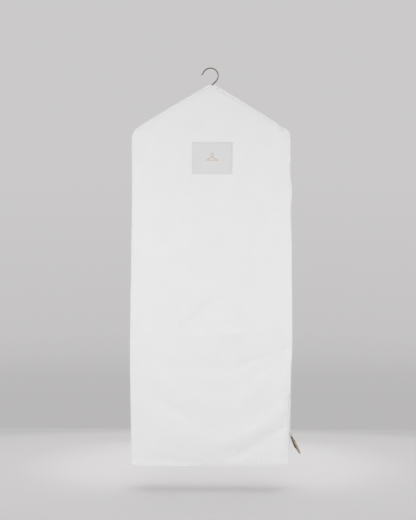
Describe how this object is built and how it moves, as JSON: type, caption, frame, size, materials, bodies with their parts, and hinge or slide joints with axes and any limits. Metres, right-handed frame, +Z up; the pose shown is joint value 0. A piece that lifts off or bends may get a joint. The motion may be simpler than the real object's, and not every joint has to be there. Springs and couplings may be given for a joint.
{
  "type": "garment bag",
  "caption": "Long white cotton garment bag with a pitched top on a wooden hanger with a turning bronze hook, a sewn label, and a side zip whose slider carries a ring and a leather pull.",
  "frame": {"origin": "the point inside the top of the hook's loop where it rests on a rail", "axes": "+Z up along the hook's shank; +X towards the zip side, to the right of someone facing the label; the front panel with the label faces -Y"},
  "size_m": [0.6191, 0.1022, 1.4664],
  "materials": {
    "bronze": "polished antique bronze",
    "beech": "satin lacquer",
    "cotton": "matte, fine plain weave",
    "piping": "matte, bias-cut weave",
    "label": "smooth satin weave",
    "label_print": "pale gold embroidery",
    "zip_tape": "ribbed woven tape",
    "zip_teeth": "moulded, slightly glossy",
    "zip_metal": "satin nickel",
    "thread": "waxed thread",
    "leather": "vegetable-tanned, burnished edges"
  },
  "bodies": {
    "hook": {"hook": "bronze", "hook_nut": "bronze"},
    "bag": {"hook_washer": "zip_metal", "hanger_ferrule": "bronze", "hanger_arm_left": "beech", "hanger_arm_right": "beech", "arm_dowels": "beech", "front_panel": "cotton", "back_panel": "cotton", "gusset_top_left": "cotton", "gusset_top_right": "cotton", "peak_patch": "cotton", "gusset_left": "cotton", "gusset_bottom": "cotton", "side_strip_front": "cotton", "side_strip_rear": "cotton", "side_strip_upper": "cotton", "side_strip_lower": "cotton", "hook_hole_binding": "piping", "front_piping": "piping", "back_piping": "piping", "label_patch": "label", "label_motif": "label_print", "zip_tape_front": "zip_tape", "zip_tape_rear": "zip_tape", "zip_teeth_front": "zip_teeth", "zip_teeth_rear": "zip_teeth", "zip_top_stop": "zip_metal", "zip_bottom_stop": "zip_metal"},
    "zip_slider": {"slider_body": "zip_metal", "slider_bail": "zip_metal"},
    "pull_ring": {"pull_ring": "zip_metal"},
    "pull_tab": {"pull_tab": "leather", "tab_binding": "thread"}
  },
  "joints": [
    {"name": "hook_swivel", "type": "hinge", "parent": "hook", "child": "bag", "pos_m": [0.004, 0, 0], "axis": [0, 0, 1], "continuous": true},
    {"name": "slider_slide", "type": "slide", "parent": "bag", "child": "zip_slider", "axis": [0, 0, 1], "range_m": [0, 1.03]},
    {"name": "ring_swing", "type": "hinge", "parent": "zip_slider", "child": "pull_ring", "pos_m": [0.2967, 0, -1.3526], "axis": [0, -1, 0], "range_deg": [0, 80]},
    {"name": "tab_swing", "type": "hinge", "parent": "pull_ring", "child": "pull_tab", "pos_m": [0.30108, 0, -1.36159], "axis": [0.4494, 0.866, 0.2192], "range_deg": [-35, 30]}
  ]
}
